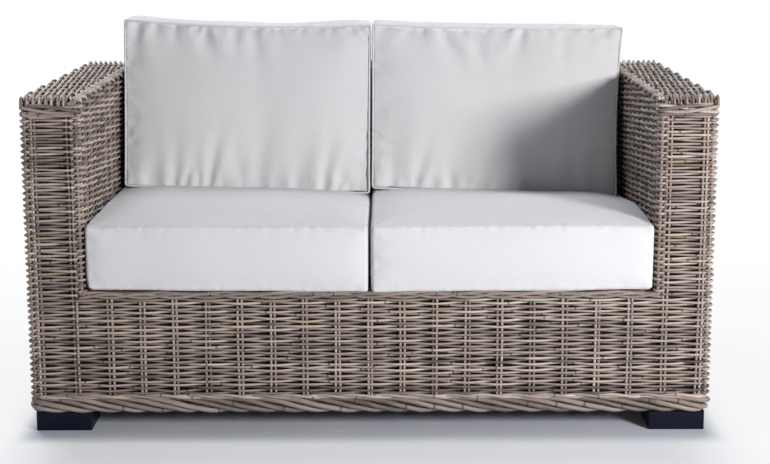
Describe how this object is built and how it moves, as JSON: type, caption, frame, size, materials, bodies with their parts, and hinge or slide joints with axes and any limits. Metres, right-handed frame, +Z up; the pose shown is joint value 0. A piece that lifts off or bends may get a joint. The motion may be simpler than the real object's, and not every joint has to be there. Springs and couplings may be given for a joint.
{
  "type": "patio loveseat",
  "caption": "Low loveseat with woven cane arms, back and apron on a timber frame, block feet, and loose seat and back cushions that lift out.",
  "frame": {"origin": "on the floor, under the middle of the loveseat's overall box", "axes": "+X from the left arm to the right arm as seen from the front, +Y from the front to the back, +Z up"},
  "size_m": [1.5, 0.9, 0.8625],
  "materials": {
    "woven_cane": "satin",
    "frame_wood": "matte",
    "slat_wood": "matte",
    "black_block": "satin",
    "zinc_steel": "satin",
    "canvas": "matte",
    "padding": "matte"
  },
  "bodies": {
    "frame": {"apron_panel": "woven_cane", "apron_top_border": "woven_cane", "back_edge_braid": "woven_cane", "back_inner_panel": "woven_cane", "back_outer_panel": "woven_cane", "back_stiles": "frame_wood", "back_top_panel": "woven_cane", "back_top_rail": "frame_wood", "centre_seat_rail": "frame_wood", "foot_bolts": "zinc_steel", "frame_dowels": "frame_wood", "frame_screws": "zinc_steel", "front_base_rail": "frame_wood", "front_bottom_border": "woven_cane", "front_seat_rail": "frame_wood", "left_arm_edge_braid": "woven_cane", "left_arm_front_border": "woven_cane", "left_arm_front_panel": "woven_cane", "left_arm_inner_panel": "woven_cane", "left_arm_outer_panel": "woven_cane", "left_arm_stiles": "frame_wood", "left_arm_top_panel": "woven_cane", "left_arm_top_rail": "frame_wood", "left_base_rail": "frame_wood", "left_bottom_border": "woven_cane", "left_front_foot": "black_block", "left_front_post": "frame_wood", "left_rear_foot": "black_block", "left_rear_post": "frame_wood", "left_seat_rail": "frame_wood", "rear_base_rail": "frame_wood", "rear_bottom_border": "woven_cane", "rear_seat_rail": "frame_wood", "right_arm_edge_braid": "woven_cane", "right_arm_front_border": "woven_cane", "right_arm_front_panel": "woven_cane", "right_arm_inner_panel": "woven_cane", "right_arm_outer_panel": "woven_cane", "right_arm_stiles": "frame_wood", "right_arm_top_panel": "woven_cane", "right_arm_top_rail": "frame_wood", "right_base_rail": "frame_wood", "right_bottom_border": "woven_cane", "right_front_foot": "black_block", "right_front_post": "frame_wood", "right_rear_foot": "black_block", "right_rear_post": "frame_wood", "right_seat_rail": "frame_wood", "seat_bolts": "zinc_steel", "seat_corner_blocks": "frame_wood", "seat_slats": "slat_wood", "slat_screws": "zinc_steel"},
    "left_seat_cushion": {"left_seat_cushion_cover": "canvas", "left_seat_cushion_foam": "padding"},
    "left_back_cushion": {"left_back_cushion_cover": "canvas", "left_back_cushion_filling": "padding"},
    "right_seat_cushion": {"right_seat_cushion_cover": "canvas", "right_seat_cushion_foam": "padding"},
    "right_back_cushion": {"right_back_cushion_cover": "canvas", "right_back_cushion_filling": "padding"}
  },
  "joints": [
    {"name": "left_seat_cushion_lift", "type": "slide", "parent": "frame", "child": "left_seat_cushion", "axis": [0, 0, 1], "range_m": [0, 0.45]},
    {"name": "left_back_cushion_lift", "type": "slide", "parent": "left_seat_cushion", "child": "left_back_cushion", "axis": [0, 0, 1], "range_m": [0, 0.3]},
    {"name": "right_seat_cushion_lift", "type": "slide", "parent": "frame", "child": "right_seat_cushion", "axis": [0, 0, 1], "range_m": [0, 0.45]},
    {"name": "right_back_cushion_lift", "type": "slide", "parent": "right_seat_cushion", "child": "right_back_cushion", "axis": [0, 0, 1], "range_m": [0, 0.3]}
  ]
}
